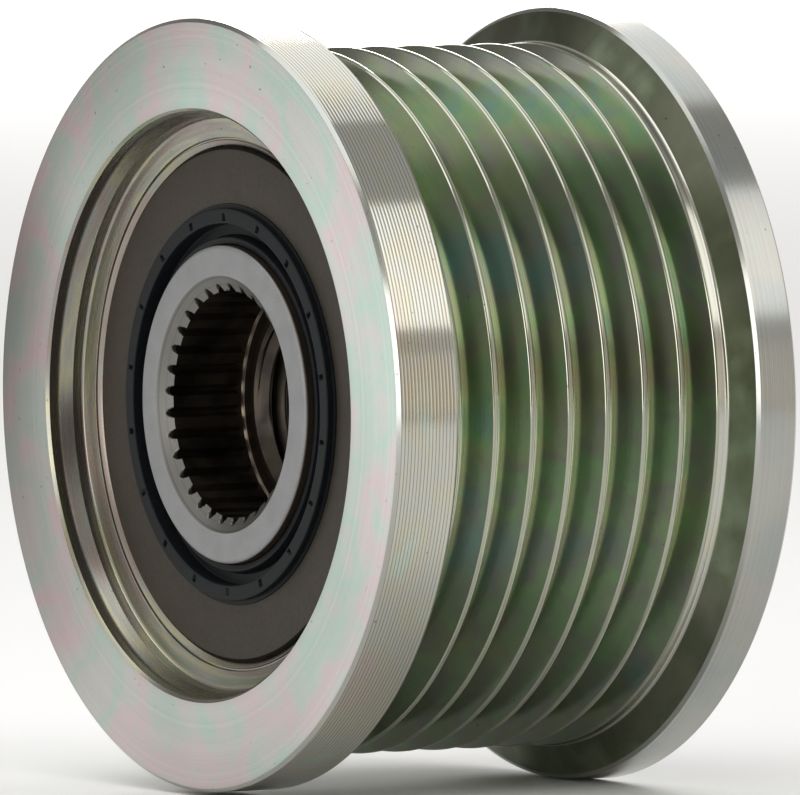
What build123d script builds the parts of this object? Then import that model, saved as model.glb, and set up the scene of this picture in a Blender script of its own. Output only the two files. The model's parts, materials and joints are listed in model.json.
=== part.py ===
from build123d import *
import math
import os

# Overrunning (freewheel) alternator pulley with a seven-rib poly-V rim.
# The axis of rotation is Y and the front face looks along -Y. Radii are measured from the
# axis. Stations are measured along the axis, from the pulley's front face to the rear.

# Pulley ring
PULLEY_LENGTH = 37.85
FRONT_FLANGE_RADIUS = 31.6
REAR_FLANGE_RADIUS = 31.98
FRONT_FLANGE_WIDTH = 5.8
REAR_FLANGE_WIDTH = 3.72
FLANGE_TAPER = 0.15
RIM_CHAMFER = 0.3
FLANGE_EDGE_WIDTH = 0.25
RECESS_RADIUS = 24.05
RECESS_LIP = 0.25
RECESS_STEP = 0.5
RECESS_CONE_START = 1.1
RECESS_CONE_END = 2.2
PULLEY_BORE_RADIUS = 21.1
BORE_CHAMFER = 0.5
BORE_CHAMFER_LENGTH = 0.37
SEAT_GROOVE_WIDTH = 0.15
SEAT_GROOVE_DEPTH = 0.22

# Poly-V rib profile PK: pitch, included angle, widths and radii
RIB_PITCH = 3.56
RIB_COUNT = 7
GROOVE_ANGLE = 40.0
CREST_RADIUS = 29.0
CREST_LAND = 0.4
CREST_ROUND = 0.25
GROOVE_DEPTH = 3.05
GROOVE_ROUND = 0.5
FIRST_GROOVE_STATION = 9.07
FLANGE_FOOT_GAP = 0.9
FLANGE_FOOT_ROUND = 0.3

# Hub
HUB_FRONT_STATION = 2.5
HUB_REAR_PROTRUSION = 1.0
HUB_NOSE_RADIUS = 13.05
HUB_BODY_RADIUS = 14.0
HUB_EDGE_ROUND = 0.4
SHOULDER_STATION = 6.2
SPLINE_TEETH = 33
SPLINE_TIP_RADIUS = 9.3
SPLINE_ROOT_RADIUS = 9.9
SPLINE_NOTCH_WIDTH = 0.85
SPLINE_NOTCH_BEARING = 88.8
SPLINE_END_STATION = 9.7
SOCKET_CHAMFER = 1.25
SOCKET_CHAMFER_LENGTH = 0.9
UNDERCUT_RADIUS = 10.0
SOCKET_FLOOR_STATION = 10.5
THREAD_CORE_RADIUS = 7.19
THREAD_START_STATION = 11.3
THREAD_MOUTH_RADIUS = 8.3

# Rolling set: raceways, needle rollers and locking rollers
INNER_RACE_RADIUS = 15.8
OUTER_RACE_RADIUS = 18.84
ROLLER_RADIUS = 1.5
RUNNING_CLEARANCE = 0.02
NEEDLE_COUNT = 22
NEEDLE_LENGTH = 4.6
NEEDLE_CAGE_LENGTH = 6.0
NEEDLE_CAGE_INNER_RADIUS = 16.1
NEEDLE_CAGE_OUTER_RADIUS = 18.55
POCKET_PLAY = 0.1
ROLLER_EDGE_CHAMFER = 0.15

# One-way clutch
LOCKING_COUNT = 12
LOCKING_LENGTH = 7.6
CLUTCH_LENGTH = 9.45
CAGE_SIDE_RING = 0.8
RAMP_CREST_RADIUS = 16.4
WEDGE_ANGLE = 7.4
LOCKING_CLEARANCE = 0.01
RAMP_CLEARANCE = 0.006
RAMP_STOP_OFFSET = 2.2
RAMP_LENGTH = 6.0
CLUTCH_CAGE_INNER_RADIUS = 16.5
CLUTCH_CAGE_OUTER_RADIUS = 18.6
CAGE_BAR_BEARING = -10.5
CAGE_BAR_ANGLE = 5.0
SPRING_THICKNESS = 0.15
SPRING_WIDTH = 5.0

# Axial stack, each a station or a thickness
THRUST_WASHER_THICKNESS = 0.8
WASHER_EDGE_GAP = 0.24
GUIDE_RING_THICKNESS = 0.6
AXIAL_PLAY = 0.15
SLEEVE_START_STATION = 7.2
RACE_START_STATION = 6.3

# Seals
SEAL_FACE_STATION = 3.45
SEAL_PLATE_THICKNESS = 0.9
SEAL_PLATE_INNER_RADIUS = 16.4
SEAL_PLATE_ROUND = 0.35
SEAL_BAND_STATION = 2.8
SEAL_BAND_INNER_RADIUS = 14.8
SEAL_BAND_OUTER_RADIUS = 16.05
SEAL_LIP_CLEARANCE = 0.07
SEAL_NOTCH_COUNT = 18
SEAL_NOTCH_BEARING = 91.2
SEAL_NOTCH_RADIUS = 15.35
SEAL_NOTCH_SIZE = (0.75, 0.5, 0.3)
SLINGER_STATION = 5.4
SLINGER_RADIUS = 19.5
SLINGER_THICKNESS = 0.8

# Worked out from the above
HUB_REAR_STATION = PULLEY_LENGTH + HUB_REAR_PROTRUSION
ORIGIN_STATION = HUB_REAR_STATION / 2
MIDDLE_STATION = PULLEY_LENGTH / 2
NEEDLE_ORBIT_RADIUS = INNER_RACE_RADIUS + RUNNING_CLEARANCE + ROLLER_RADIUS
LOCKING_ORBIT_RADIUS = OUTER_RACE_RADIUS - LOCKING_CLEARANCE - ROLLER_RADIUS
RAMP_APOTHEM = (
    LOCKING_ORBIT_RADIUS * math.cos(math.radians(WEDGE_ANGLE)) - ROLLER_RADIUS - RAMP_CLEARANCE
)
NEEDLE_CAGE_STATION = RACE_START_STATION + THRUST_WASHER_THICKNESS + 0.2
GUIDE_RING_STATION = NEEDLE_CAGE_STATION + NEEDLE_CAGE_LENGTH + AXIAL_PLAY
CLUTCH_STATION = MIDDLE_STATION - CLUTCH_LENGTH / 2
MID_PLANE = Plane(origin=(0, MIDDLE_STATION - ORIGIN_STATION, 0), z_dir=(0, 1, 0))


def turned(corners):
    """Solid of revolution about Y from corners given as (radius, station, corner radius)."""
    points = [(radius, station - ORIGIN_STATION) for radius, station, _ in corners]
    rounds = [corner_radius for _, _, corner_radius in corners]
    outline = FilletPolyline(*points, radius=rounds, close=True)
    return revolve(make_face(outline), Axis.Y)


def plain_ring(inner_radius, outer_radius, start, length, chamfer_size=0.0):
    """A ring of rectangular section, with an optional chamfer on its outer edges."""
    end = start + length
    corners = [(inner_radius, start, 0), (inner_radius, end, 0)]
    if chamfer_size:
        corners += [(outer_radius - chamfer_size, end, 0), (outer_radius, end - chamfer_size, 0)]
        corners += [(outer_radius, start + chamfer_size, 0), (outer_radius - chamfer_size, start, 0)]
    else:
        corners += [(outer_radius, end, 0), (outer_radius, start, 0)]
    return turned(corners)


def cross_section(station):
    """Sketch plane square to the axis: its x is X and its y is Z."""
    return Plane(origin=(0, station - ORIGIN_STATION, 0), x_dir=(1, 0, 0), z_dir=(0, -1, 0))


def prism(sketch, start, length):
    """Extrude a sketch, drawn on X and Z, from a station towards the rear."""
    return extrude(cross_section(start) * sketch, amount=-length)


def around_axis(shape, count, first_bearing=0.0):
    """Copies of a shape at equal steps about Y, turned from X towards Z."""
    step = 360 / count
    return [Rot(0, -(first_bearing + step * i), 0) * shape for i in range(count)]


def polar(radius, bearing):
    """Point on X and Z at a radius and a bearing in degrees."""
    return (radius * math.cos(math.radians(bearing)), radius * math.sin(math.radians(bearing)))


def group(shapes):
    """Several separate solids kept together in one node."""
    return Compound(children=[solid for shape in shapes for solid in shape.solids()])


def to_rear(shape):
    """The same piece on the other side of the pulley's middle."""
    return mirror(shape, about=MID_PLANE)


def make_pulley_rim():
    half_opening = (RIB_PITCH - CREST_LAND) / 2
    half_floor = half_opening - GROOVE_DEPTH * math.tan(math.radians(GROOVE_ANGLE / 2))
    last_groove = FIRST_GROOVE_STATION + RIB_PITCH * (RIB_COUNT - 1)
    front_foot = FIRST_GROOVE_STATION - half_opening - FLANGE_FOOT_GAP
    rear_foot = last_groove + half_opening + FLANGE_FOOT_GAP
    rear_flange_station = PULLEY_LENGTH - REAR_FLANGE_WIDTH

    front_flange = [
        (RECESS_RADIUS + RECESS_LIP, 0, 0),
        (FRONT_FLANGE_RADIUS - RIM_CHAMFER, 0, 0),
        (FRONT_FLANGE_RADIUS, RIM_CHAMFER, 0),
        (FRONT_FLANGE_RADIUS, FRONT_FLANGE_WIDTH - FLANGE_EDGE_WIDTH, 0),
        (FRONT_FLANGE_RADIUS - 0.2, FRONT_FLANGE_WIDTH, 0),
        (CREST_RADIUS, front_foot, FLANGE_FOOT_ROUND),
    ]
    ribs = []
    for i in range(RIB_COUNT):
        centre = FIRST_GROOVE_STATION + RIB_PITCH * i
        ribs += [
            (CREST_RADIUS, centre - half_opening, CREST_ROUND),
            (CREST_RADIUS - GROOVE_DEPTH, centre - half_floor, GROOVE_ROUND),
            (CREST_RADIUS - GROOVE_DEPTH, centre + half_floor, GROOVE_ROUND),
            (CREST_RADIUS, centre + half_opening, CREST_ROUND),
        ]
    rear_flange = [
        (CREST_RADIUS, rear_foot, FLANGE_FOOT_ROUND),
        (REAR_FLANGE_RADIUS - FLANGE_TAPER - 0.3, rear_flange_station, 0),
        (REAR_FLANGE_RADIUS - FLANGE_TAPER, rear_flange_station + FLANGE_EDGE_WIDTH, 0),
        (REAR_FLANGE_RADIUS, PULLEY_LENGTH - RIM_CHAMFER, 0),
        (REAR_FLANGE_RADIUS - RIM_CHAMFER, PULLEY_LENGTH, 0),
    ]
    chamfer_radius = PULLEY_BORE_RADIUS + BORE_CHAMFER
    chamfer_start = SEAL_FACE_STATION + 0.3 - BORE_CHAMFER_LENGTH
    step_radius = RECESS_RADIUS - RECESS_STEP
    rear_recess = [
        (RECESS_RADIUS - 0.2, PULLEY_LENGTH, 0),
        (RECESS_RADIUS - 0.45, PULLEY_LENGTH - RECESS_LIP, 0),
        (RECESS_RADIUS - 0.85, PULLEY_LENGTH - SEAL_FACE_STATION + 0.2, 0.3),
        (chamfer_radius, PULLEY_LENGTH - chamfer_start, 0),
        (PULLEY_BORE_RADIUS, PULLEY_LENGTH - chamfer_start - BORE_CHAMFER_LENGTH, 0),
    ]
    groove_start = chamfer_radius + 0.05
    groove_end = groove_start + SEAT_GROOVE_WIDTH
    front_recess = [
        (PULLEY_BORE_RADIUS, chamfer_start + BORE_CHAMFER_LENGTH, 0),
        (chamfer_radius, chamfer_start, 0),
        (groove_start, chamfer_start + SEAT_GROOVE_DEPTH, 0),
        (groove_end, chamfer_start + SEAT_GROOVE_DEPTH, 0),
        (groove_end + 0.05, chamfer_start, 0),
        (step_radius - 0.05, SEAL_FACE_STATION - 0.3, 0.3),
        (step_radius, RECESS_CONE_END, 0),
        (RECESS_RADIUS, RECESS_CONE_START, 0.3),
        (RECESS_RADIUS, RECESS_LIP, 0),
    ]
    return turned(front_flange + ribs + rear_flange + rear_recess + front_recess)


def make_hub():
    front = HUB_FRONT_STATION
    rear = HUB_REAR_STATION
    rear_shoulder = PULLEY_LENGTH - SHOULDER_STATION
    thread_runout = THREAD_MOUTH_RADIUS - THREAD_CORE_RADIUS
    blank = turned(
        [
            (SPLINE_TIP_RADIUS + SOCKET_CHAMFER, front, 0),
            (HUB_NOSE_RADIUS, front, HUB_EDGE_ROUND),
            (HUB_NOSE_RADIUS, SHOULDER_STATION, 0),
            (HUB_BODY_RADIUS, SHOULDER_STATION, 0),
            (HUB_BODY_RADIUS, rear_shoulder, 0),
            (HUB_NOSE_RADIUS, rear_shoulder, 0),
            (HUB_NOSE_RADIUS, rear, HUB_EDGE_ROUND),
            (THREAD_MOUTH_RADIUS, rear, 0),
            (THREAD_CORE_RADIUS, rear - thread_runout, 0),
            (THREAD_CORE_RADIUS, THREAD_START_STATION, 0),
            (THREAD_MOUTH_RADIUS, SOCKET_FLOOR_STATION, 0),
            (UNDERCUT_RADIUS, SOCKET_FLOOR_STATION, 0.2),
            (UNDERCUT_RADIUS, SPLINE_END_STATION, 0),
            (SPLINE_TIP_RADIUS, SPLINE_END_STATION, 0),
            (SPLINE_TIP_RADIUS, front + SOCKET_CHAMFER_LENGTH, 0),
        ]
    )
    half_notch = math.degrees(SPLINE_NOTCH_WIDTH / 2 / SPLINE_TIP_RADIUS)
    outline = []
    for i in range(SPLINE_TEETH):
        bearing = SPLINE_NOTCH_BEARING + 360 / SPLINE_TEETH * i
        outline += [
            polar(SPLINE_TIP_RADIUS, bearing - half_notch),
            polar(SPLINE_ROOT_RADIUS, bearing),
            polar(SPLINE_TIP_RADIUS, bearing + half_notch),
        ]
    socket = make_face(Polyline(*outline, close=True))
    return blank - prism(socket, front, SPLINE_END_STATION - front + 0.1)


def make_race_sleeve():
    length = PULLEY_LENGTH - 2 * RACE_START_STATION
    return plain_ring(OUTER_RACE_RADIUS, PULLEY_BORE_RADIUS, RACE_START_STATION, length, 0.3)


def make_ramp_sleeve():
    length = PULLEY_LENGTH - 2 * SLEEVE_START_STATION
    sleeve = plain_ring(HUB_BODY_RADIUS, INNER_RACE_RADIUS, SLEEVE_START_STATION, length)
    sleeve += plain_ring(HUB_BODY_RADIUS, RAMP_CREST_RADIUS, CLUTCH_STATION, CLUTCH_LENGTH)
    pocket_width = RAMP_STOP_OFFSET + RAMP_LENGTH
    pocket_height = 2.0
    middle = (pocket_width / 2 - RAMP_STOP_OFFSET, RAMP_APOTHEM + pocket_height / 2)
    pocket = Pos(*middle) * Rectangle(pocket_width, pocket_height)
    cutter = prism(pocket, CLUTCH_STATION - 0.1, CLUTCH_LENGTH + 0.2)
    for ramp in around_axis(cutter, LOCKING_COUNT):
        sleeve -= ramp
    return sleeve


def make_clutch_cage():
    cage = plain_ring(
        CLUTCH_CAGE_INNER_RADIUS, CLUTCH_CAGE_OUTER_RADIUS, CLUTCH_STATION, CLUTCH_LENGTH
    )
    step = 360 / LOCKING_COUNT
    first_edge = 90 - (CAGE_BAR_BEARING + CAGE_BAR_ANGLE / 2)
    last_edge = first_edge - (step - CAGE_BAR_ANGLE)
    reach = CLUTCH_CAGE_OUTER_RADIUS + 2
    window = make_face(Polyline((0, 0), polar(reach, first_edge), polar(reach, last_edge), close=True))
    cutter = prism(window, CLUTCH_STATION + CAGE_SIDE_RING, CLUTCH_LENGTH - 2 * CAGE_SIDE_RING)
    for opening in around_axis(cutter, LOCKING_COUNT):
        cage -= opening
    return cage


def roller(length, orbit_radius):
    """One roller, parallel to the axis and straight above it, centred on the middle station."""
    blank = Cylinder(ROLLER_RADIUS, length)
    body = chamfer(blank.edges().filter_by(GeomType.CIRCLE), ROLLER_EDGE_CHAMFER)
    middle = MIDDLE_STATION - ORIGIN_STATION
    return Pos(0, middle, orbit_radius) * Rot(90, 0, 0) * body


def make_locking_rollers():
    """The rollers stand at the narrow end of their ramps, just touching both tracks."""
    one = Rot(0, WEDGE_ANGLE, 0) * roller(LOCKING_LENGTH, LOCKING_ORBIT_RADIUS)
    return group(around_axis(one, LOCKING_COUNT))


def make_clutch_springs():
    """A zigzag leaf spring between each cage bar and its roller."""
    waist = CLUTCH_CAGE_INNER_RADIUS + 0.35
    crown = CLUTCH_CAGE_OUTER_RADIUS - 0.35
    bar_face = CAGE_BAR_BEARING + CAGE_BAR_ANGLE / 2 + 0.35
    pad = WEDGE_ANGLE - math.degrees(ROLLER_RADIUS / LOCKING_ORBIT_RADIUS) - 0.45
    folds = 4
    points = [polar(crown, 90 - bar_face)]
    for i in range(folds + 1):
        bearing = bar_face + (pad - bar_face) * i / folds
        radius = waist if i % 2 == 0 else crown
        points.append(polar(radius, 90 - bearing))
    points.append(polar(LOCKING_ORBIT_RADIUS + 0.3, 90 - pad))
    leaf = trace(Polyline(*points), line_width=SPRING_THICKNESS)
    one = prism(leaf, MIDDLE_STATION - SPRING_WIDTH / 2, SPRING_WIDTH)
    return group(around_axis(one, LOCKING_COUNT))


def make_needle_cage():
    cage = plain_ring(
        NEEDLE_CAGE_INNER_RADIUS, NEEDLE_CAGE_OUTER_RADIUS, NEEDLE_CAGE_STATION, NEEDLE_CAGE_LENGTH
    )
    width = 2 * (ROLLER_RADIUS + POCKET_PLAY)
    length = NEEDLE_LENGTH + 2 * POCKET_PLAY
    start = NEEDLE_CAGE_STATION + (NEEDLE_CAGE_LENGTH - length) / 2
    pocket = Pos(0, NEEDLE_ORBIT_RADIUS) * Rectangle(width, 4 * ROLLER_RADIUS)
    cutter = prism(pocket, start, length)
    for opening in around_axis(cutter, NEEDLE_COUNT):
        cage -= opening
    return cage


def make_needle_rollers():
    one = roller(NEEDLE_LENGTH, NEEDLE_ORBIT_RADIUS)
    shift = NEEDLE_CAGE_STATION + NEEDLE_CAGE_LENGTH / 2 - MIDDLE_STATION
    return group(around_axis(Pos(0, shift, 0) * one, NEEDLE_COUNT))


def make_thrust_washer():
    outer = OUTER_RACE_RADIUS - WASHER_EDGE_GAP
    return plain_ring(HUB_BODY_RADIUS, outer, RACE_START_STATION, THRUST_WASHER_THICKNESS, 0.15)


def make_guide_ring():
    inner = RAMP_CREST_RADIUS + 0.1
    outer = OUTER_RACE_RADIUS - WASHER_EDGE_GAP
    return plain_ring(inner, outer, GUIDE_RING_STATION, GUIDE_RING_THICKNESS)


def make_seal_plate():
    """Steel plate with a rim pressed into the pulley's bore."""
    face = SEAL_FACE_STATION
    back = face + SEAL_PLATE_THICKNESS
    return turned(
        [
            (SEAL_PLATE_INNER_RADIUS, face, 0),
            (PULLEY_BORE_RADIUS, face, SEAL_PLATE_ROUND),
            (PULLEY_BORE_RADIUS, RACE_START_STATION - 0.1, 0),
            (PULLEY_BORE_RADIUS - 0.9, RACE_START_STATION - 0.1, 0),
            (PULLEY_BORE_RADIUS - 0.9, back, 0.3),
            (SEAL_PLATE_INNER_RADIUS, back, 0),
        ]
    )


def make_seal_lip():
    """Rubber seal: outer band, gap and radial lip in front, an axial lip behind."""
    lip = HUB_NOSE_RADIUS + SEAL_LIP_CLEARANCE
    back = SEAL_FACE_STATION + SEAL_PLATE_THICKNESS + 0.6
    gap_floor = SEAL_FACE_STATION + 0.75
    axial_lip = SLINGER_STATION - SEAL_LIP_CLEARANCE
    body = turned(
        [
            (SEAL_PLATE_INNER_RADIUS, SEAL_FACE_STATION - 0.1, 0),
            (SEAL_PLATE_INNER_RADIUS, back, 0),
            (SEAL_BAND_OUTER_RADIUS, back, 0),
            (SEAL_BAND_OUTER_RADIUS - 0.15, axial_lip, 0),
            (SEAL_BAND_INNER_RADIUS + 0.6, axial_lip, 0),
            (SEAL_BAND_INNER_RADIUS + 0.3, back, 0),
            (lip + 0.3, back, 0),
            (lip, gap_floor + 0.4, 0),
            (lip, SEAL_FACE_STATION - 0.15, 0),
            (lip + 0.55, SEAL_FACE_STATION - 0.25, 0),
            (lip + 0.75, gap_floor, 0.1),
            (SEAL_BAND_INNER_RADIUS, gap_floor, 0.1),
            (SEAL_BAND_INNER_RADIUS, SEAL_BAND_STATION, 0.12),
            (SEAL_BAND_OUTER_RADIUS, SEAL_BAND_STATION, 0.12),
            (SEAL_BAND_OUTER_RADIUS, SEAL_FACE_STATION - 0.1, 0),
        ]
    )
    radial, across, deep = SEAL_NOTCH_SIZE
    notch = Pos(SEAL_NOTCH_RADIUS, 0) * Rectangle(radial, across)
    cutter = prism(notch, SEAL_BAND_STATION - 0.1, deep + 0.1)
    for opening in around_axis(cutter, SEAL_NOTCH_COUNT, SEAL_NOTCH_BEARING):
        body -= opening
    return body


def make_slinger():
    """Steel ring pressed on the hub, for the seal's axial lip to run against."""
    return plain_ring(HUB_NOSE_RADIUS, SLINGER_RADIUS, SLINGER_STATION, SLINGER_THICKNESS, 0.2)


def main():
    pieces = {
        "pulley_rim": make_pulley_rim(),
        "hub": make_hub(),
        "outer_race_sleeve": make_race_sleeve(),
        "ramp_sleeve": make_ramp_sleeve(),
        "clutch_cage": make_clutch_cage(),
        "locking_rollers": make_locking_rollers(),
        "clutch_springs": make_clutch_springs(),
    }
    both_sides = {
        "needle_cage": make_needle_cage(),
        "needle_rollers": make_needle_rollers(),
        "thrust_washer": make_thrust_washer(),
        "guide_ring": make_guide_ring(),
        "seal_plate": make_seal_plate(),
        "seal_lip": make_seal_lip(),
        "slinger_ring": make_slinger(),
    }
    for name, piece in both_sides.items():
        pieces["front_" + name] = piece
        pieces["rear_" + name] = to_rear(piece)

    os.makedirs("parts", exist_ok=True)
    for name, piece in pieces.items():
        export_step(piece, f"parts/{name}.step")


main()
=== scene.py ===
import json
import math

import bmesh
import bpy
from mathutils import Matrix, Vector


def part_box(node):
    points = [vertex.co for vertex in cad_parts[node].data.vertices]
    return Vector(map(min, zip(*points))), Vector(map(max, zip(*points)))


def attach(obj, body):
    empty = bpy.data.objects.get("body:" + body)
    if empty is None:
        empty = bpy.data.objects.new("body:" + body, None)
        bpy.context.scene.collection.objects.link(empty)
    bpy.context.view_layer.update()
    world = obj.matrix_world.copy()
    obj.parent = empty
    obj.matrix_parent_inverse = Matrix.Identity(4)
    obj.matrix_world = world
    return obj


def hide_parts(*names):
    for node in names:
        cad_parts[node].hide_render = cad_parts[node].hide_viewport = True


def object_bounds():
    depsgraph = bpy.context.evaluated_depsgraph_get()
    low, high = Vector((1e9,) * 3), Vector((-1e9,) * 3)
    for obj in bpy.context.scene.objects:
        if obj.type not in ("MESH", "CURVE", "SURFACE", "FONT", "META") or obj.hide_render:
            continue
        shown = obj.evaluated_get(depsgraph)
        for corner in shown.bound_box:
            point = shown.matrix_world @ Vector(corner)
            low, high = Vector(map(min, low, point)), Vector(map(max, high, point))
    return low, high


# Overrunning alternator pulley: turned rim on a splined, threaded hub, sealed at both faces.
# Outlines are in millimetres: a radius from the axis and a station from the rim's front face.

MM = 0.001
TURN = 2 * math.pi
SHARP_ANGLE = math.radians(32)

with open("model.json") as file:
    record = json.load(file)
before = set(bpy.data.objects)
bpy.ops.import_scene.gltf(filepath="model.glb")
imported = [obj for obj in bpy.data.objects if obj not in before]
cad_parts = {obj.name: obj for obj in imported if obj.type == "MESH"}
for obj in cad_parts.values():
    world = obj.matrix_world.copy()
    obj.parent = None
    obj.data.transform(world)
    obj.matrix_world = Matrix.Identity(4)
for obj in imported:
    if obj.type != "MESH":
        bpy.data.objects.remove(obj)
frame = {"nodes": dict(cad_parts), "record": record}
cad_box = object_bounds()

rim_low, rim_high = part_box("pulley_rim")
hub_low, hub_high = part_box("hub")
FRONT = rim_low.y
RIM_LENGTH = (rim_high.y - rim_low.y) / MM
REAR_RIM_RADIUS = rim_high.x / MM
HUB_BODY_RADIUS = hub_high.x / MM
HUB_FRONT = (hub_low.y - FRONT) / MM
HUB_REAR = (hub_high.y - FRONT) / MM

# Camera, in metres
AZIMUTH = math.radians(58.5)
ELEVATION = math.radians(3.29)
CAMERA_DISTANCE = 1.5
LENS = 826.9
AIM_RIGHT = 0.01665
AIM_UP = 0.00066

# Rim
FRONT_RIM_RADIUS = 31.6
FRONT_RIM_WIDTH = 5.8
REAR_RIM_WIDTH = 3.72
RIM_CHAMFER = 0.3
RIM_EDGE_ROUND = 0.08
FLANGE_SHOULDER = 0.25
FOOT_GAP = 0.9
CREST_RADIUS = 29.0
CREST_ROUND = 0.25
RIB_PITCH = 3.56
RIB_COUNT = 7
FIRST_GROOVE = 9.07
GROOVE_HALF_WIDTH = 1.58
GROOVE_DEPTH = 3.05
GROOVE_ROUND = 0.5
GROOVE_HALF_ANGLE = math.radians(20)
RECESS_RADIUS = 24.05
BORE_RADIUS = 21.1
TOOL_PITCH = 0.325
TOOL_DEPTH = 0.016
REAR_TOOL_PITCH = 0.2
REAR_TOOL_DEPTH = 0.0015
REAR_LAND_DROP = 0.15
MARK_MARGIN = 0.05
RIM_STEPS = 384

# Hub
NOSE_RADIUS = 13.05
NOSE_ROUND = 0.4
SHOULDER = 6.2
SPLINE_TEETH = 33
SPLINE_TIP = 9.3
SPLINE_ROOT = 9.9
SPLINE_NOTCH = 0.85
SPLINE_BEARING = math.radians(88.8)
SPLINE_END = 9.7
LEAF_POWER = 2.4
SOCKET_CHAMFER_LENGTH = 0.9
SOCKET_CHAMFER_HEIGHT = 1.25
CHAMFER_STEPS = 14
SOCKET_FLOOR = 10.5
UNDERCUT_RADIUS = 10.0
THREAD_CORE = 7.19
THREAD_ROOT = 8.0
THREAD_PITCH = 1.5
THREAD_START = 11.3
THREAD_MOUTH = 8.3
THREAD_FLAT = 0.12
THREAD_FLANK = 0.75
THREAD_ROWS = 12

# Seals
SEAL_FACE = 3.45
PLATE_INNER = 16.4
PLATE_THICKNESS = 0.9
PLATE_RIM_BACK = 6.2
BAND_FACE = 2.8
BAND_INNER = 14.8
BAND_OUTER = 16.05
NOTCH_INNER = 15.0
NOTCH_OUTER = 15.65
NOTCH_DEPTH = 0.3
NOTCH_HALF_WIDTH = math.radians(0.7)
SEAL_NOTCHES = 18
SEAL_NOTCH_BEARING = math.radians(91.2)
SEAL_STEPS = 720
PLATE_STEPS = 360

# Materials
WHITE = (1.0, 1.0, 1.0)
FINE_MARKS = 0.0000006
FACE_MARKS = 0.0000012
COARSE_MARKS = 0.000002
GROUND_MARKS = 0.000003
ON_FACE, IN_BORE, ON_SIDE, ON_CONE = range(4)


# ---------------------------------------------------------------- shader nodes

def new_material(name):
    material = bpy.data.materials.new(name)
    material.use_nodes = True
    tree = material.node_tree
    return material, tree.nodes["Principled BSDF"], tree


def grey(level):
    return (level, level, level)


def node(tree, kind, **values):
    made = tree.nodes.new(kind)
    for key, value in values.items():
        setattr(made, key, value)
    return made


def maths(tree, operation, first, second=0.0):
    made = node(tree, "ShaderNodeMath", operation=operation)
    for socket, value in zip(made.inputs, (first, second)):
        if isinstance(value, (int, float)):
            socket.default_value = value
        else:
            tree.links.new(value, socket)
    return made.outputs[0]


def ramp(tree, factor, stops):
    made = node(tree, "ShaderNodeValToRGB")
    elements = made.color_ramp.elements
    while len(elements) > 1:
        elements.remove(elements[-1])
    elements[0].position = stops[0][0]
    elements[0].color = (*stops[0][1], 1)
    for position, colour in stops[1:]:
        elements.new(position).color = (*colour, 1)
    tree.links.new(factor, made.inputs["Fac"])
    return made.outputs["Color"]


def mix(tree, factor, first, second, blend="MIX"):
    made = node(tree, "ShaderNodeMix", data_type="RGBA", blend_type=blend)
    sockets = (made.inputs[0], made.inputs[6], made.inputs[7])
    for socket, value in zip(sockets, (factor, first, second)):
        if isinstance(value, (int, float)):
            socket.default_value = value
        elif isinstance(value, tuple):
            socket.default_value = (*value, 1)
        else:
            tree.links.new(value, socket)
    return made.outputs[2]


def shaded(tree, colour, factor, stops):
    """The colour, multiplied by a ramp."""
    return mix(tree, 1.0, colour, ramp(tree, factor, stops), "MULTIPLY")


def noise(tree, vector, scale, detail=2.0, roughness=0.5):
    made = node(tree, "ShaderNodeTexNoise")
    made.inputs["Scale"].default_value = scale
    made.inputs["Detail"].default_value = detail
    made.inputs["Roughness"].default_value = roughness
    tree.links.new(vector, made.inputs["Vector"])
    return made.outputs["Fac"]


def drawn_out(tree, place, along):
    """The place with its distance along the axis shortened, so that clouds stretch along it."""
    made = node(tree, "ShaderNodeVectorMath", operation="MULTIPLY")
    made.inputs[1].default_value = (1, along, 1)
    tree.links.new(place, made.inputs[0])
    return made.outputs[0]


def object_place(tree):
    return node(tree, "ShaderNodeTexCoord").outputs["Object"]


def round_place(tree):
    """Position on the part, the radius from its axis, and the place along it."""
    place = object_place(tree)
    split = node(tree, "ShaderNodeSeparateXYZ")
    tree.links.new(place, split.inputs[0])
    x, y, z = split.outputs
    square = maths(tree, "ADD", maths(tree, "MULTIPLY", x, x), maths(tree, "MULTIPLY", z, z))
    radius = maths(tree, "SQRT", square)
    return place, radius, y


def turned_lines(tree, radius, y, scale):
    """Noise that changes only with the radius and along the axis, so it makes rings."""
    ring = node(tree, "ShaderNodeCombineXYZ")
    tree.links.new(radius, ring.inputs["X"])
    tree.links.new(y, ring.inputs["Y"])
    return noise(tree, ring.outputs[0], scale, 3.0, 0.6)


def streaks(tree, place, radius, y, scale):
    """Noise that changes quickly across the rings and slowly along them."""
    made = node(tree, "ShaderNodeTexNoise", noise_dimensions="4D")
    made.inputs["Scale"].default_value = scale
    made.inputs["Detail"].default_value = 3.0
    tree.links.new(place, made.inputs["Vector"])
    across = maths(tree, "MULTIPLY", maths(tree, "ADD", radius, y), 14.0)
    tree.links.new(across, made.inputs["W"])
    return made.outputs["Fac"]


def add_bump(tree, shader, height, distance):
    bump = node(tree, "ShaderNodeBump")
    bump.inputs["Strength"].default_value = 1.0
    bump.inputs["Distance"].default_value = distance
    tree.links.new(height, bump.inputs["Height"])
    tree.links.new(bump.outputs[0], shader.inputs["Normal"])


def uneven_roughness(tree, shader, factor, amount, least):
    """Roughness that rises from its least value with the factor."""
    rough = maths(tree, "ADD", maths(tree, "MULTIPLY", factor, amount), least)
    tree.links.new(rough, shader.inputs["Roughness"])


# ---------------------------------------------------------------- camera and light

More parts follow.
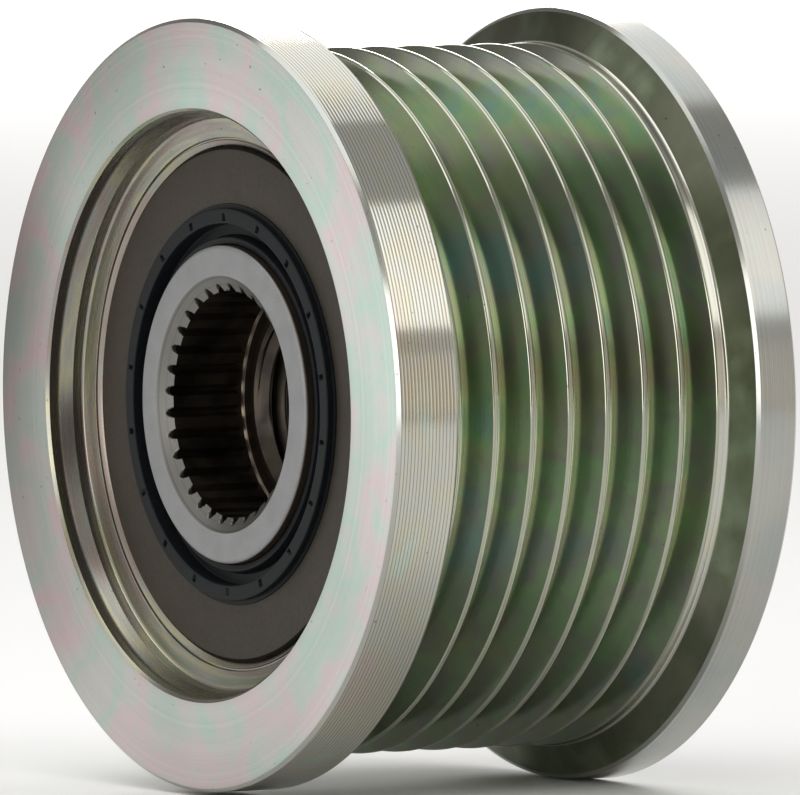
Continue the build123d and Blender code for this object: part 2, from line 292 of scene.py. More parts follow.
def add_camera():
    """A long lens, from in front and to the right, a little above the axis."""
    back = Vector(
        (
            math.sin(AZIMUTH) * math.cos(ELEVATION),
            -math.cos(AZIMUTH) * math.cos(ELEVATION),
            math.sin(ELEVATION),
        )
    )
    right = Vector((math.cos(AZIMUTH), math.sin(AZIMUTH), 0))
    up = back.cross(right)
    data = bpy.data.cameras.new("camera")
    data.sensor_width = 36
    data.lens = LENS
    data.clip_end = 30
    camera = bpy.data.objects.new("camera", data)
    bpy.context.scene.collection.objects.link(camera)
    aim = Vector((0, FRONT, 0)) + right * AIM_RIGHT + up * AIM_UP
    camera.location = aim + back * CAMERA_DISTANCE
    camera.rotation_euler = back.to_track_quat("Z", "Y").to_euler()
    bpy.context.scene.camera = camera


def add_softbox(name, place, size, radiance, colour=WHITE, aim=(0, 0, 0)):
    """An evenly lit panel at a place, turned towards another."""
    data = bpy.data.lights.new(name, "AREA")
    data.shape = "RECTANGLE"
    data.size, data.size_y = size
    data.energy = radiance * math.pi * size[0] * size[1]
    data.color = colour
    light = bpy.data.objects.new(name, data)
    bpy.context.scene.collection.objects.link(light)
    light.location = place
    light.rotation_euler = (Vector(place) - Vector(aim)).to_track_quat("Z", "Y").to_euler()


def add_lights():
    """Soft boxes round the part, and a weak panel that fills the front face."""
    face = (0.07, -0.115, 0.05)
    behind = (-0.9, 0.55, 0)
    warm = (1.0, 0.88, 0.76)
    add_softbox("top_left", (-0.06, -0.17, 0.44), (0.44, 0.36), 1.5)
    add_softbox("front_box", (0.27, -0.62, 0.12), (0.36, 0.34), 2.5)
    add_softbox("right_strip", (0.69, -0.02, 0.01), (0.08, 0.08), 2.2)
    add_softbox("face_panel", (-0.143, -0.245, 0.085), (0.26, 0.23), 0.60, aim=face)
    add_softbox("right_box", (0.46, 0.160, 0.385), (0.52, 0.38), 1.3)
    add_softbox("right_glow", (0.60, 0.10, 0.07), (0.40, 0.19), 0.45, warm)
    add_softbox("left_back_box", (-0.25, 0.33, 0.46), (0.34, 0.38), 1.05)
    add_softbox("back_wash", (-2.2, 1.2, 0.8), (1.0, 0.8), 8.5, aim=behind)


def facing(tree, way, towards):
    """How much a direction faces another, from -1 to 1."""
    made = node(tree, "ShaderNodeVectorMath", operation="DOT_PRODUCT")
    tree.links.new(way, made.inputs[0])
    made.inputs[1].default_value = towards
    return made.outputs["Value"]


def add_world():
    """A pale surround, darker overhead and to the left and right of the front."""
    world = bpy.data.worlds.new("studio")
    bpy.context.scene.world = world
    world.use_nodes = True
    tree = world.node_tree
    way = node(tree, "ShaderNodeTexCoord").outputs["Generated"]
    split = node(tree, "ShaderNodeSeparateXYZ")
    tree.links.new(way, split.inputs[0])
    colour = ramp(tree, split.outputs["Z"], [(0.0, (0.60, 0.55, 0.50)), (0.8, (0.48, 0.48, 0.47))])
    left = facing(tree, way, (-0.88, -0.47, 0))
    colour = shaded(tree, colour, left, [(0.55, WHITE), (0.9, grey(0.35))])
    right = facing(tree, way, (0.89, -0.45, 0))
    colour = shaded(tree, colour, right, [(0.80, WHITE), (0.94, grey(0.28))])
    background = tree.nodes["Background"]
    tree.links.new(colour, background.inputs["Color"])
    background.inputs["Strength"].default_value = 1.0


def add_floor():
    """Pale paper under the part."""
    half = 6.0
    data = bpy.data.meshes.new("floor")
    low = cad_box[0][2]
    corners = [(-half, -half, low), (half, -half, low), (half, half, low), (-half, half, low)]
    data.from_pydata(corners, [], [(0, 1, 2, 3)])
    floor = bpy.data.objects.new("floor", data)
    bpy.context.scene.collection.objects.link(floor)
    material, shader, _ = new_material("floor_paper")
    shader.inputs["Base Color"].default_value = (*grey(0.93), 1)
    shader.inputs["Roughness"].default_value = 0.9
    floor.data.materials.append(material)


# ---------------------------------------------------------------- materials

def painted_side_shade(tree, place, drift):
    """Painted shade that darkens the colour, and turns it pinker, towards one side of the part."""
    side, span, unevenness = 0.033, 26.0, 0.3
    split = node(tree, "ShaderNodeSeparateXYZ")
    tree.links.new(place, split.inputs[0])
    across = maths(tree, "MULTIPLY", maths(tree, "ADD", split.outputs["X"], side), span)
    across = maths(tree, "ADD", across, maths(tree, "MULTIPLY", drift, unevenness))
    return ramp(tree, across, [(0.15, (0.46, 0.39, 0.40)), (0.5, (0.78, 0.73, 0.73)), (0.95, WHITE)])


def painted_cusp_shade(tree, y):
    """Dark lines of painted shade where one turn of the tool meets the next."""
    start = FRONT + (RIM_CHAMFER + MARK_MARGIN) * MM
    turns = maths(tree, "DIVIDE", maths(tree, "SUBTRACT", y, start), TOOL_PITCH * MM)
    phase = maths(tree, "FRACT", turns)
    dark = grey(0.42)
    return ramp(tree, phase, [(0.0, dark), (0.2, WHITE), (0.75, WHITE), (1.0, dark)])


def make_zinc(
    name, tints, cloud_scale, roughness,
    marks=FINE_MARKS, streaked=False, shaded_cusps=False, along=1.0, side_shaded=False,
):
    """Zinc plate under a thin passivation: clouds of pale tints over fine turning marks."""
    material, shader, tree = new_material(name)
    place, radius, y = round_place(tree)
    if streaked:
        clouds = streaks(tree, place, radius, y, cloud_scale)
    else:
        clouds = noise(tree, drawn_out(tree, place, along), cloud_scale, 4.0, 0.52)
    first, last = 0.34, 0.66
    step = (last - first) / (len(tints) - 1)
    colour = ramp(tree, clouds, [(first + step * i, tint) for i, tint in enumerate(tints)])
    drift = noise(tree, place, 40.0, 1.0)
    colour = shaded(tree, colour, drift, [(0.35, grey(0.84)), (0.65, WHITE)])
    specks = noise(tree, place, 2200.0, 1.0)
    colour = shaded(tree, colour, specks, [(0.19, (0.45, 0.45, 0.42)), (0.24, WHITE)])
    rings = turned_lines(tree, radius, y, 4200.0)
    colour = shaded(tree, colour, rings, [(0.3, grey(0.90)), (0.7, WHITE)])
    # Painted shade, darker and pinker towards one side of the face.
    if side_shaded:
        colour = mix(tree, 1.0, colour, painted_side_shade(tree, place, drift), "MULTIPLY")
    # Painted shade in the cusps between turns of the tool.
    if shaded_cusps:
        colour = mix(tree, 1.0, colour, painted_cusp_shade(tree, y), "MULTIPLY")
    tree.links.new(colour, shader.inputs["Base Color"])
    shader.inputs["Metallic"].default_value = 1.0
    lines = turned_lines(tree, radius, y, 9000.0)
    uneven_roughness(tree, shader, lines, 0.06, roughness)
    add_bump(tree, shader, lines, marks)
    return material


def make_zincs():
    """The finishes of the rim, in the order that rim_finish counts them."""
    pink, mint, cream = (0.72, 0.61, 0.62), (0.54, 0.68, 0.61), (0.64, 0.66, 0.62)
    straw, pale, rose = (0.60, 0.58, 0.47), (0.58, 0.58, 0.53), (0.62, 0.55, 0.50)
    bright, worn = (0.52, 0.52, 0.45), (0.47, 0.46, 0.38)
    steel, dull, warm = (0.42, 0.44, 0.42), (0.46, 0.47, 0.43), (0.47, 0.46, 0.42)
    olive, teal, green = (0.43, 0.47, 0.34), (0.345, 0.445, 0.40), (0.38, 0.495, 0.335)
    slate, umber = (0.41, 0.42, 0.38), (0.33, 0.33, 0.28)
    # shadow and dusk are dark tints of painted shade for the rear flange's front wall.
    shadow, dusk = (0.16, 0.18, 0.12), (0.21, 0.22, 0.16)
    lime, amber = (0.52, 0.58, 0.37), (0.55, 0.53, 0.38)
    gold, moss = (0.42, 0.40, 0.28), (0.27, 0.32, 0.22)
    copper, ash = (0.34, 0.28, 0.24), (0.33, 0.33, 0.30)
    on_face = [mint, cream, pink, cream, mint, cream]
    # Film colours of the grooves, darkened as painted shade.
    shaded_groove_tints = [teal, slate, green, slate, olive, green, teal]
    # Film colours of the front recess, darkened as painted shade.
    shaded_recess_tints = [moss, ash, gold, ash, copper, ash, moss]
    return [
        make_zinc("zinc_face", on_face, 95, 0.22, FACE_MARKS, side_shaded=True),
        make_zinc("zinc_land", [steel, warm, dull, steel], 90, 0.15),
        # Front land, with painted shade in its tool cusps.
        make_zinc("zinc_land_cusp_shaded", [rose, straw, pale, straw, mint], 110, 0.09, shaded_cusps=True),
        # Grooves: film colours darkened as painted shade.
        make_zinc("zinc_groove_painted_shade", shaded_groove_tints, 105, 0.17, along=0.3),
        make_zinc("zinc_crest_worn", [bright, worn, bright], 110, 0.05),
        # Front recess: film colours darkened as painted shade.
        make_zinc("zinc_recess_painted_shade", shaded_recess_tints, 60, 0.24, COARSE_MARKS, streaked=True),
        # Middle of each crest: dark tints of painted shade.
        make_zinc("zinc_crest_painted_shade_line", [umber, olive, umber], 110, 0.12),
        make_zinc("zinc_crest_back", [straw, pale, straw], 110, 0.12),
        make_zinc("zinc_root", [green, lime, amber, lime, green], 90, 0.17, along=0.3),
        # Rear flange's front wall: a dark copy of the zinc, painted shade.
        make_zinc("zinc_flange_side_painted_shade", [shadow, dusk, shadow, moss, dusk], 70, 0.20),
    ]


def make_ground_steel(name, colour, roughness):
    """Ground steel with fine rings left by the wheel."""
    material, shader, tree = new_material(name)
    place, radius, y = round_place(tree)
    lines = turned_lines(tree, radius, y, 7000.0)
    stain = noise(tree, place, 160.0, 3.0)
    darker = tuple(0.82 * part for part in colour)
    marks = turned_lines(tree, radius, y, 2600.0)
    stained = mix(tree, stain, darker, colour)
    stained = shaded(tree, stained, marks, [(0.36, grey(0.62)), (0.46, WHITE)])
    tree.links.new(stained, shader.inputs["Base Color"])
    shader.inputs["Metallic"].default_value = 1.0
    uneven_roughness(tree, shader, lines, 0.12, roughness)
    add_bump(tree, shader, lines, GROUND_MARKS)
    return material


def make_grained(
    name, grain, tints, roughness,
    stops=(0.3, 0.7), patches=None, uneven=0.0, metallic=0.0, specular=0.5, depth=0.0,
):
    """A finely grained surface, from the tint of its dips to that of its tops.

    grain is the scale and harshness of the grain; patches are the scale and the shade of
    broad darker patches; uneven is how much the roughness rises with the grain.
    """
    material, shader, tree = new_material(name)
    place = object_place(tree)
    height = noise(tree, place, grain[0], 3.0, grain[1])
    colour = ramp(tree, height, list(zip(stops, tints)))
    if patches:
        broad = noise(tree, place, patches[0])
        colour = shaded(tree, colour, broad, [(0.3, grey(patches[1])), (0.7, WHITE)])
    tree.links.new(colour, shader.inputs["Base Color"])
    shader.inputs["Metallic"].default_value = metallic
    shader.inputs["Specular IOR Level"].default_value = specular
    if uneven:
        uneven_roughness(tree, shader, height, uneven, roughness)
    else:
        shader.inputs["Roughness"].default_value = roughness
    if depth:
        add_bump(tree, shader, height, depth)
    return material


def make_blasted_steel():
    """Hub face: fine shot-blasted steel, light grey and matt."""
    tints = ((0.29, 0.294, 0.298), (0.34, 0.344, 0.348))
    return make_grained(
        "hub_blasted", (5200.0, 0.7), tints, 0.55,
        stops=(0.3, 0.75), patches=(420.0, 0.88), metallic=0.75, depth=0.000005,
    )


def make_bore_steel():
    """Oiled, dark steel of the spline and the thread."""
    tints = ((0.030, 0.026, 0.022), (0.085, 0.070, 0.055))
    return make_grained(
        "hub_bore_oiled", (300.0, 0.5), tints, 0.28,
        stops=(0.35, 0.65), uneven=0.2, metallic=0.9,
    )


def make_phosphated():
    """Seal plate: phosphated steel, warm dark grey, with a faint grain."""
    tints = ((0.027, 0.020, 0.013), (0.045, 0.035, 0.023))
    return make_grained(
        "phosphated_plate", (3600.0, 0.65), tints, 0.5,
        patches=(260.0, 0.85), metallic=0.35, depth=0.000008,
    )


def make_gap_dirt_and_shade():
    """Old oil and dust that sit in the narrow gap round the plate, near black, which also stand as
    painted shade in the gap.
    """
    tints = ((0.004, 0.004, 0.003), (0.014, 0.012, 0.010))
    return make_grained("gap_dirt_and_shade", (2000.0, 0.5), tints, 0.7, specular=0.1)


def make_rubber():
    """Moulded seal rubber, blue-black with a satin skin."""
    tints = ((0.005, 0.006, 0.007), (0.009, 0.011, 0.013))
    return make_grained(
        "seal_rubber", (2400.0, 0.6), tints, 0.42, uneven=0.15, specular=0.17, depth=0.000012
    )


def make_plastic():
    """Glass-filled polyamide of the cages."""
    tints = ((0.055, 0.048, 0.040), (0.085, 0.075, 0.062))
    return make_grained("cage_polyamide", (1800.0, 0.6), tints, 0.5, depth=0.00001)


# ---------------------------------------------------------------- round shapes

def rounded(corners, segments=6):
    """Outline points from corners given as (radius, station, corner radius)."""
    points = []
    count = len(corners)
    for i, (radius, station, size) in enumerate(corners):
        here = Vector((radius, station))
        if not size:
            points.append(here)
            continue
        back = (Vector(corners[i - 1][:2]) - here).normalized()
        ahead = (Vector(corners[(i + 1) % count][:2]) - here).normalized()
        half = back.angle(ahead) / 2
        centre = here + (back + ahead).normalized() * (size / math.sin(half))
        start = here + back * (size / math.tan(half)) - centre
        end = here + ahead * (size / math.tan(half)) - centre
        sweep = start.angle_signed(end)
        for k in range(segments + 1):
            turn = -sweep * k / segments
            spoke = Vector(
                (
                    start.x * math.cos(turn) - start.y * math.sin(turn),
                    start.x * math.sin(turn) + start.y * math.cos(turn),
                )
            )
            points.append(centre + spoke)
    return points


def counter_clockwise(points):
    """The outline in the order that makes a lathe's faces point outwards."""
    area = sum(a.x * b.y - b.x * a.y for a, b in zip(points, points[1:] + points[:1]))
    return points if area > 0 else points[::-1]


def mesh_piece(name, vertices, faces, materials):
    """A smooth-shaded piece whose edges are sharp where its faces turn."""
    data = bpy.data.meshes.new(name)
    data.from_pydata(vertices, [], faces)
    data.validate()
    piece = bpy.data.objects.new(name, data)
    bpy.context.scene.collection.objects.link(piece)
    for material in materials:
        data.materials.append(material)
    data.polygons.foreach_set("use_smooth", [True] * len(data.polygons))
    data.set_sharp_from_angle(angle=SHARP_ANGLE)
    return piece


def ring_faces(rows, steps):
    """Quads of a closed surface made of closed rows of points."""
    faces = []
    for i in range(rows):
        here, ahead = i * steps, (i + 1) % rows * steps
        for j in range(steps):
            k = (j + 1) % steps
            faces.append((here + j, ahead + j, ahead + k, here + k))
    return faces


def lathe(name, points, materials, steps, choose=None):
    """A turned piece from a closed outline; choose gives the material at a radius and station."""
    outline = counter_clockwise(points)
    vertices = []
    for point in outline:
        y = FRONT + point.y * MM
        for j in range(steps):
            angle = TURN * j / steps
            vertices.append((point.x * MM * math.cos(angle), y, point.x * MM * math.sin(angle)))
    piece = mesh_piece(name, vertices, ring_faces(len(outline), steps), materials)
    if choose:
        ahead = outline[1:] + outline[:1]
        rings = [choose((here + there) / 2) for here, there in zip(outline, ahead)]
        indices = [ring for ring in rings for _ in range(steps)]
        piece.data.polygons.foreach_set("material_index", indices)
    return piece


def tool_marks(radius, end_radius, start, end, pitch, depth):
    """Scallops that a round-nosed tool leaves, as outline corners."""
    per_mark = 6
    count = round((end - start) / pitch) * per_mark
    corners = []
    for i in range(count + 1):
        along = i / count
        phase = (i % per_mark) / per_mark
        hollow = 4 * depth * phase * (1 - phase)
        surface = radius + (end_radius - radius) * along
        corners.append((surface - hollow, start + (end - start) * along, 0))
    return corners


def stand_for(piece, cad_node, body):
    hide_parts(cad_node)
    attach(piece, body)


# ---------------------------------------------------------------- rim

def rim_finish(middle):
    """Index of the finish at a point of the rim's outline."""
    edge, crest_band, root_height, land_depth = 0.02, 0.12, 0.32, 0.35
    worn_to, line_to = -0.12, 0.05
    # The grooves, the front recess, the middle of each crest and the rear flange's front wall take
    # darker zinc with painted shade; the front land takes zinc with painted shade in its tool cusps.
    face, land, land_with_cusp_shade, groove, crest, recess, crest_line, crest_back, root, side = range(10)
    if middle.x < RECESS_RADIUS + 0.3 and edge < middle.y < RIM_LENGTH - edge:
        return recess
    if middle.y < edge or middle.y > RIM_LENGTH - edge:
        return face
    if middle.x > FRONT_RIM_RADIUS - land_depth:
        return land_with_cusp_shade if RIM_CHAMFER < middle.y < FRONT_RIM_WIDTH - FLANGE_SHOULDER else land
    if CREST_RADIUS - crest_band < middle.x < CREST_RADIUS + crest_band:
        across = (middle.y - FIRST_GROOVE) % RIB_PITCH - RIB_PITCH / 2
        return crest if across < worn_to else crest_line if across < line_to else crest_back
    if middle.x < CREST_RADIUS - GROOVE_DEPTH + root_height:
        return root
    if middle.x > CREST_RADIUS + crest_band and middle.y > RIM_LENGTH / 2:
        return side
    return groove


def groove_corners(centre):
    """One V groove with a rounded floor, between rounded crests."""
    half_floor = GROOVE_HALF_WIDTH - GROOVE_DEPTH * math.tan(GROOVE_HALF_ANGLE)
    return [
        (CREST_RADIUS, centre - GROOVE_HALF_WIDTH, CREST_ROUND),
        (CREST_RADIUS - GROOVE_DEPTH, centre - half_floor, GROOVE_ROUND),
        (CREST_RADIUS - GROOVE_DEPTH, centre + half_floor, GROOVE_ROUND),
        (CREST_RADIUS, centre + GROOVE_HALF_WIDTH, CREST_ROUND),
    ]


def rim_outside():
    """Corners from the front face, over both flanges and the ribs, to the rear face."""
    last_groove = FIRST_GROOVE + RIB_PITCH * (RIB_COUNT - 1)
    rear_start = RIM_LENGTH - REAR_RIM_WIDTH
    rear_low = REAR_RIM_RADIUS - REAR_LAND_DROP
    front_marks = (RIM_CHAMFER + MARK_MARGIN, FRONT_RIM_WIDTH - FLANGE_SHOULDER)
    rear_marks = (rear_start + 0.3, RIM_LENGTH - RIM_CHAMFER - MARK_MARGIN)
    corners = [
        (RECESS_RADIUS + 0.25, 0, 0.04),
        (FRONT_RIM_RADIUS - RIM_CHAMFER, 0, RIM_EDGE_ROUND),
        (FRONT_RIM_RADIUS, RIM_CHAMFER, 0),
    ]
    corners += tool_marks(
        FRONT_RIM_RADIUS, FRONT_RIM_RADIUS, *front_marks, TOOL_PITCH, TOOL_DEPTH
    )
    corners += [
        (FRONT_RIM_RADIUS - 0.2, FRONT_RIM_WIDTH, 0.05),
        (CREST_RADIUS, FIRST_GROOVE - GROOVE_HALF_WIDTH - FOOT_GAP, 0.3),
    ]
    for i in range(RIB_COUNT):
        corners += groove_corners(FIRST_GROOVE + RIB_PITCH * i)
    corners += [
        (CREST_RADIUS, last_groove + GROOVE_HALF_WIDTH + FOOT_GAP, 0.4),
        (REAR_RIM_RADIUS - 0.45, rear_start, 0.06),
        (rear_low, rear_start + 0.25, 0),
    ]
    corners += tool_marks(
        rear_low, REAR_RIM_RADIUS, *rear_marks, REAR_TOOL_PITCH, REAR_TOOL_DEPTH
    )
    return corners + [
        (REAR_RIM_RADIUS, RIM_LENGTH - RIM_CHAMFER, 0),
        (REAR_RIM_RADIUS - RIM_CHAMFER, RIM_LENGTH, RIM_EDGE_ROUND),
    ]


def rim_inside():
    """Corners of the rear recess, the bore between the seals, and the stepped front recess."""
    seal_step = RIM_LENGTH - SEAL_FACE
    return [
        (RECESS_RADIUS - 0.2, RIM_LENGTH, 0.04),
        (RECESS_RADIUS - 0.45, RIM_LENGTH - 0.25, 0.06),
        (RECESS_RADIUS - 0.85, seal_step + 0.2, 0.3),
        (BORE_RADIUS + 0.5, seal_step + 0.07, 0.05),
        (BORE_RADIUS, seal_step - 0.3, 0.05),
        (BORE_RADIUS, SEAL_FACE + 0.3, 0.05),
        (BORE_RADIUS + 0.5, SEAL_FACE - 0.07, 0.04),
        (BORE_RADIUS + 0.55, SEAL_FACE + 0.15, 0.03),
        (BORE_RADIUS + 0.7, SEAL_FACE + 0.15, 0.03),
        (BORE_RADIUS + 0.75, SEAL_FACE - 0.07, 0.04),
        (RECESS_RADIUS - 0.55, SEAL_FACE - 0.3, 0.3),
        (RECESS_RADIUS - 0.5, 2.2, 0.08),
        (RECESS_RADIUS, 1.1, 1.0),
        (RECESS_RADIUS, 0.25, 0.04),
    ]


def make_rim(zincs):
    outline = rounded(rim_outside() + rim_inside(), 8)
    return lathe("rim_turned", outline, zincs, RIM_STEPS, rim_finish)


# ---------------------------------------------------------------- hub

def notch_radius(angle):
    """Radius of the splined hole at an angle: flat tips with a leaf-shaped notch between them."""
    step = TURN / SPLINE_TEETH
    offset = abs((angle - SPLINE_BEARING + step / 2) % step - step / 2)
    half = SPLINE_NOTCH / 2 / SPLINE_TIP
    return SPLINE_TIP + (SPLINE_ROOT - SPLINE_TIP) * max(0.0, 1 - (offset / half) ** LEAF_POWER)


def spline_angles():
    """Angles of the points of a row, bunched at the notches of the spline."""
    tooth = TURN / SPLINE_TEETH
    half = SPLINE_NOTCH / 2 / SPLINE_TIP
    offsets = [half * share for share in (-1, -0.8, -0.5, -0.2, 0, 0.2, 0.5, 0.8, 1)]
    offsets += [half + (tooth - 2 * half) * i / 6 for i in range(1, 6)]
    return [
        SPLINE_BEARING + tooth * i + offset for i in range(SPLINE_TEETH) for offset in offsets
    ]


def thread_rows(angles):
    """Rows that follow the helix of a right-hand internal thread, from the rear to the socket."""
    margin = 0.02
    rear, front = HUB_REAR - margin, SOCKET_FLOOR + margin
    turns = math.ceil((rear - front) / THREAD_PITCH) + 2
    taper = (THREAD_MOUTH - THREAD_CORE) / (THREAD_START - SOCKET_FLOOR)
    rows = []
    for k in range(-THREAD_ROWS, (turns + 1) * THREAD_ROWS + 1):
        phase = k % THREAD_ROWS / THREAD_ROWS
        depth = (1 - abs(phase - 0.5) * 2 - THREAD_FLAT) / THREAD_FLANK
        depth = min(1.0, max(0.0, depth))
        radius = THREAD_CORE + (THREAD_ROOT - THREAD_CORE) * depth
        row = []
        for angle in angles:
            lead = (angle - angles[0]) / TURN
            station = rear + THREAD_PITCH * (1 - lead - k / THREAD_ROWS)
            station = min(rear, max(front, station))
            rear_mouth = THREAD_MOUTH - (HUB_REAR - station)
            front_mouth = THREAD_MOUTH - (station - SOCKET_FLOOR) * taper
            row.append((max(radius, rear_mouth, front_mouth), station))
        rows.append(row)
    return rows


def even_rows(points, steps, metal):
    """Rows at one radius and station each, for the points of an outline."""
    return [([(p.x, p.y)] * steps, metal) for p in points]


def outer_rows(steps):
    """The hub's front face, its outside and its rear face."""
    outline = rounded(
        [
            (SPLINE_TIP + SOCKET_CHAMFER_HEIGHT, HUB_FRONT, 0),
            (NOSE_RADIUS, HUB_FRONT, NOSE_ROUND),
            (NOSE_RADIUS, SHOULDER, 0),
            (HUB_BODY_RADIUS, SHOULDER, 0),
            (HUB_BODY_RADIUS, RIM_LENGTH - SHOULDER, 0),
            (NOSE_RADIUS, RIM_LENGTH - SHOULDER, 0),
            (NOSE_RADIUS, HUB_REAR, NOSE_ROUND),
            (THREAD_MOUTH, HUB_REAR, 0),
        ]
    )
    face_depth = 0.2
    front_end, rear_end = HUB_FRONT + face_depth, HUB_REAR - face_depth
    front_face = [p for p in outline if p.y < front_end]
    outside = [p for p in outline if front_end <= p.y <= rear_end]
    rear_face = [p for p in outline if p.y > rear_end]
    rows = even_rows(front_face, steps, ON_FACE)
    rows += even_rows(outside, steps, ON_SIDE)
    return rows + even_rows(rear_face, steps, ON_FACE)


def socket_rows(angles):
    """The socket's floor and undercut, the notched spline and the chamfer that cuts it."""
    steps = len(angles)
    floor = [Vector((THREAD_MOUTH, SOCKET_FLOOR)), Vector((UNDERCUT_RADIUS - 0.2, SOCKET_FLOOR))]
    undercut = [Vector((UNDERCUT_RADIUS, SOCKET_FLOOR - 0.2)), Vector((UNDERCUT_RADIUS, SPLINE_END))]
    notched = [notch_radius(angle) for angle in angles]
    rows = even_rows(floor, steps, ON_SIDE) + even_rows(undercut, steps, IN_BORE)
    rows.append(([(radius, SPLINE_END) for radius in notched], IN_BORE))
    for i in range(CHAMFER_STEPS):
        share = 1 - i / CHAMFER_STEPS
        station = HUB_FRONT + SOCKET_CHAMFER_LENGTH * share
        cone = SPLINE_TIP + SOCKET_CHAMFER_HEIGHT * (1 - share)
        rows.append(([(max(cone, radius), station) for radius in notched], ON_CONE))
    return rows


def make_hub(metals):
    """The hub from rows of points; in the thread, each row joins the next turn's at its seam."""
    angles = spline_angles()
    steps = len(angles)
    rows = outer_rows(steps)
    first_thread_row = len(rows)
    rows += [(row, IN_BORE) for row in thread_rows(angles)]
    last_thread_row = len(rows) - 1
    rows += socket_rows(angles)

    vertices = []
    for row, _ in rows:
        for (radius, station), angle in zip(row, angles):
            out = radius * MM
            vertices.append((out * math.cos(angle), FRONT + station * MM, out * math.sin(angle)))
    faces, indices = [], []
    for i, (_, metal) in enumerate(rows):
        ahead = (i + 1) % len(rows)
        in_thread = first_thread_row <= i < last_thread_row
        for j in range(steps):
            k = (j + 1) % steps
            right, right_ahead = i, ahead
            if in_thread and k == 0:
                right = min(i + THREAD_ROWS, last_thread_row)
                right_ahead = min(ahead + THREAD_ROWS, last_thread_row)
            faces.append((i * steps + j, ahead * steps + j, right_ahead * steps + k, right * steps + k))
            indices.append(metal)
    return weld(mesh_piece("hub_machined", vertices, faces, metals), indices)


def weld(piece, indices):
    """Give each face its metal, then join the points that lie on each other."""
    tolerance = 1e-7
    mesh = bmesh.new()
    mesh.from_mesh(piece.data)
    mesh.faces.ensure_lookup_table()
    for face, index in zip(mesh.faces, indices):
        face.material_index = index
    bmesh.ops.remove_doubles(mesh, verts=mesh.verts, dist=tolerance)
    bmesh.ops.dissolve_degenerate(mesh, edges=mesh.edges, dist=tolerance)
    mesh.to_mesh(piece.data)
    mesh.free()
    piece.data.set_sharp_from_angle(angle=SHARP_ANGLE)
    return piece


# ---------------------------------------------------------------- seals

def plate_finish(middle):
    """The plate's own finish, or dirt and painted shade where its edge rounds into the gap."""
    edge_width = 0.27
    return 1 if middle.x > BORE_RADIUS - edge_width else 0


def seal_plate_outline():
    """Steel plate with a rounded edge and a rim pressed into the bore."""
    back = SEAL_FACE + PLATE_THICKNESS
    corners = [
        (PLATE_INNER, SEAL_FACE, 0.05),
        (BORE_RADIUS, SEAL_FACE, 0.35),
        (BORE_RADIUS, PLATE_RIM_BACK, 0.1),
        (BORE_RADIUS - PLATE_THICKNESS, PLATE_RIM_BACK, 0.1),
        (BORE_RADIUS - PLATE_THICKNESS, back, 0.3),
        (PLATE_INNER, back, 0.05),
    ]
    return rounded(corners)


def seal_rubber_outline():
    """Outer band, a gap, and the lip that runs on the hub, with an axial lip behind them."""
    lip = NOSE_RADIUS + 0.07
    back = SEAL_FACE + 1.5
    gap_floor = SEAL_FACE + 0.75
    axial_lip = 5.33
    corners = [
        (PLATE_INNER, SEAL_FACE - 0.1, 0),
        (PLATE_INNER, back, 0),
        (BAND_OUTER, back, 0),
        (BAND_OUTER - 0.15, axial_lip, 0.05),
        (BAND_INNER + 0.6, axial_lip, 0.05),
        (BAND_INNER + 0.3, back, 0),
        (lip + 0.3, back, 0),
        (lip, gap_floor + 0.4, 0.1),
        (lip, SEAL_FACE - 0.15, 0.08),
        (lip + 0.55, SEAL_FACE - 0.25, 0.12),
        (lip + 0.75, gap_floor, 0.1),
        (BAND_INNER, gap_floor, 0.1),
        (BAND_INNER, BAND_FACE, 0.12),
        (NOTCH_INNER, BAND_FACE, 0),
        (NOTCH_INNER + 0.06, BAND_FACE, 0),
        (NOTCH_OUTER - 0.06, BAND_FACE, 0),
        (NOTCH_OUTER, BAND_FACE, 0),
        (BAND_OUTER, BAND_FACE, 0.12),
        (BAND_OUTER, SEAL_FACE - 0.1, 0),
    ]
    return rounded(corners)


def at_rear(outline):
    """The same outline on the other side of the rim's middle."""
    return [Vector((p.x, RIM_LENGTH - p.y)) for p in outline]


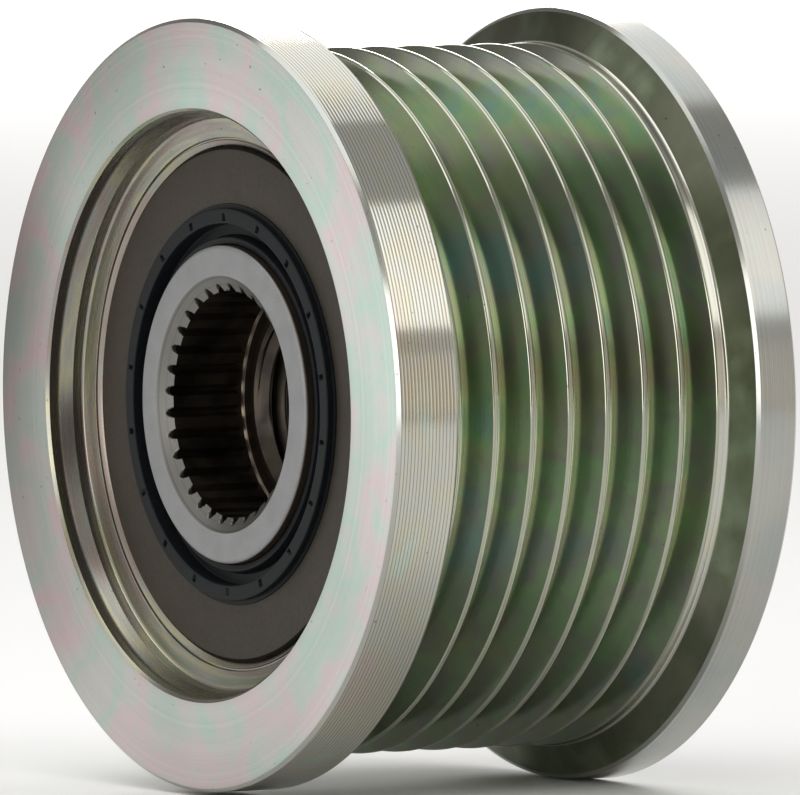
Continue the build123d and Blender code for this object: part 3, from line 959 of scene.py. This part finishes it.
def make_seal_rubber(name, rubber, to_rear):
    """Rubber seal, with notches sunk into the face of its outer band."""
    outline = seal_rubber_outline()
    if to_rear:
        outline = at_rear(outline)
    seal = lathe(name, outline, [rubber], SEAL_STEPS)
    into = -1 if to_rear else 1
    face = FRONT + (RIM_LENGTH - BAND_FACE if to_rear else BAND_FACE) * MM
    step = TURN / SEAL_NOTCHES
    for vertex in seal.data.vertices:
        radius = math.hypot(vertex.co.x, vertex.co.z) / MM
        if abs(vertex.co.y - face) > 1e-6 or not NOTCH_INNER + 0.05 < radius < NOTCH_OUTER - 0.05:
            continue
        angle = math.atan2(vertex.co.z, vertex.co.x) - SEAL_NOTCH_BEARING
        if abs((angle + step / 2) % step - step / 2) < NOTCH_HALF_WIDTH:
            vertex.co.y += into * NOTCH_DEPTH * MM
    seal.data.set_sharp_from_angle(angle=SHARP_ANGLE)
    return seal


# ---------------------------------------------------------------- the part

def finish_cad_nodes(by_slot):
    """Give every CAD node that stays its own metal or plastic."""
    slots = {entry["node"]: entry["material_slot"] for entry in frame["record"]["subparts"]}
    for name, piece in frame["nodes"].items():
        piece.data.materials.clear()
        piece.data.materials.append(by_slot[slots[name]])


def main():
    bpy.context.scene.view_settings.view_transform = "Standard"
    add_camera()
    add_world()
    add_floor()
    add_lights()

    zincs = make_zincs()
    blasted = make_blasted_steel()
    oiled = make_bore_steel()
    side_steel = make_ground_steel("hub_side_ground", (0.22, 0.18, 0.14), 0.30)
    cone_steel = make_ground_steel("hub_chamfer_turned", (0.20, 0.195, 0.18), 0.38)
    phosphated = make_phosphated()
    dirt_and_shade = make_gap_dirt_and_shade()
    rubber = make_rubber()
    finish_cad_nodes(
        {
            "zinc_steel": zincs[1],
            "hub_steel": blasted,
            "bearing_steel": make_ground_steel("bearing_steel", (0.62, 0.62, 0.63), 0.18),
            "spring_steel": make_ground_steel("spring_steel", (0.55, 0.53, 0.49), 0.25),
            "dark_plate": phosphated,
            "seal_rubber": rubber,
            "cage_plastic": make_plastic(),
        }
    )
    stand_for(make_rim(zincs), "pulley_rim", "pulley")
    stand_for(make_hub([blasted, oiled, side_steel, cone_steel]), "hub", "hub")
    plate = seal_plate_outline()
    for side in ("front", "rear"):
        outline = at_rear(plate) if side == "rear" else plate
        metals = [phosphated, dirt_and_shade]
        pressed = lathe(side + "_seal_plate_pressed", outline, metals, PLATE_STEPS, plate_finish)
        stand_for(pressed, side + "_seal_plate", "pulley")
        moulded = make_seal_rubber(side + "_seal_moulded", rubber, side == "rear")
        stand_for(moulded, side + "_seal_lip", "pulley")


main()
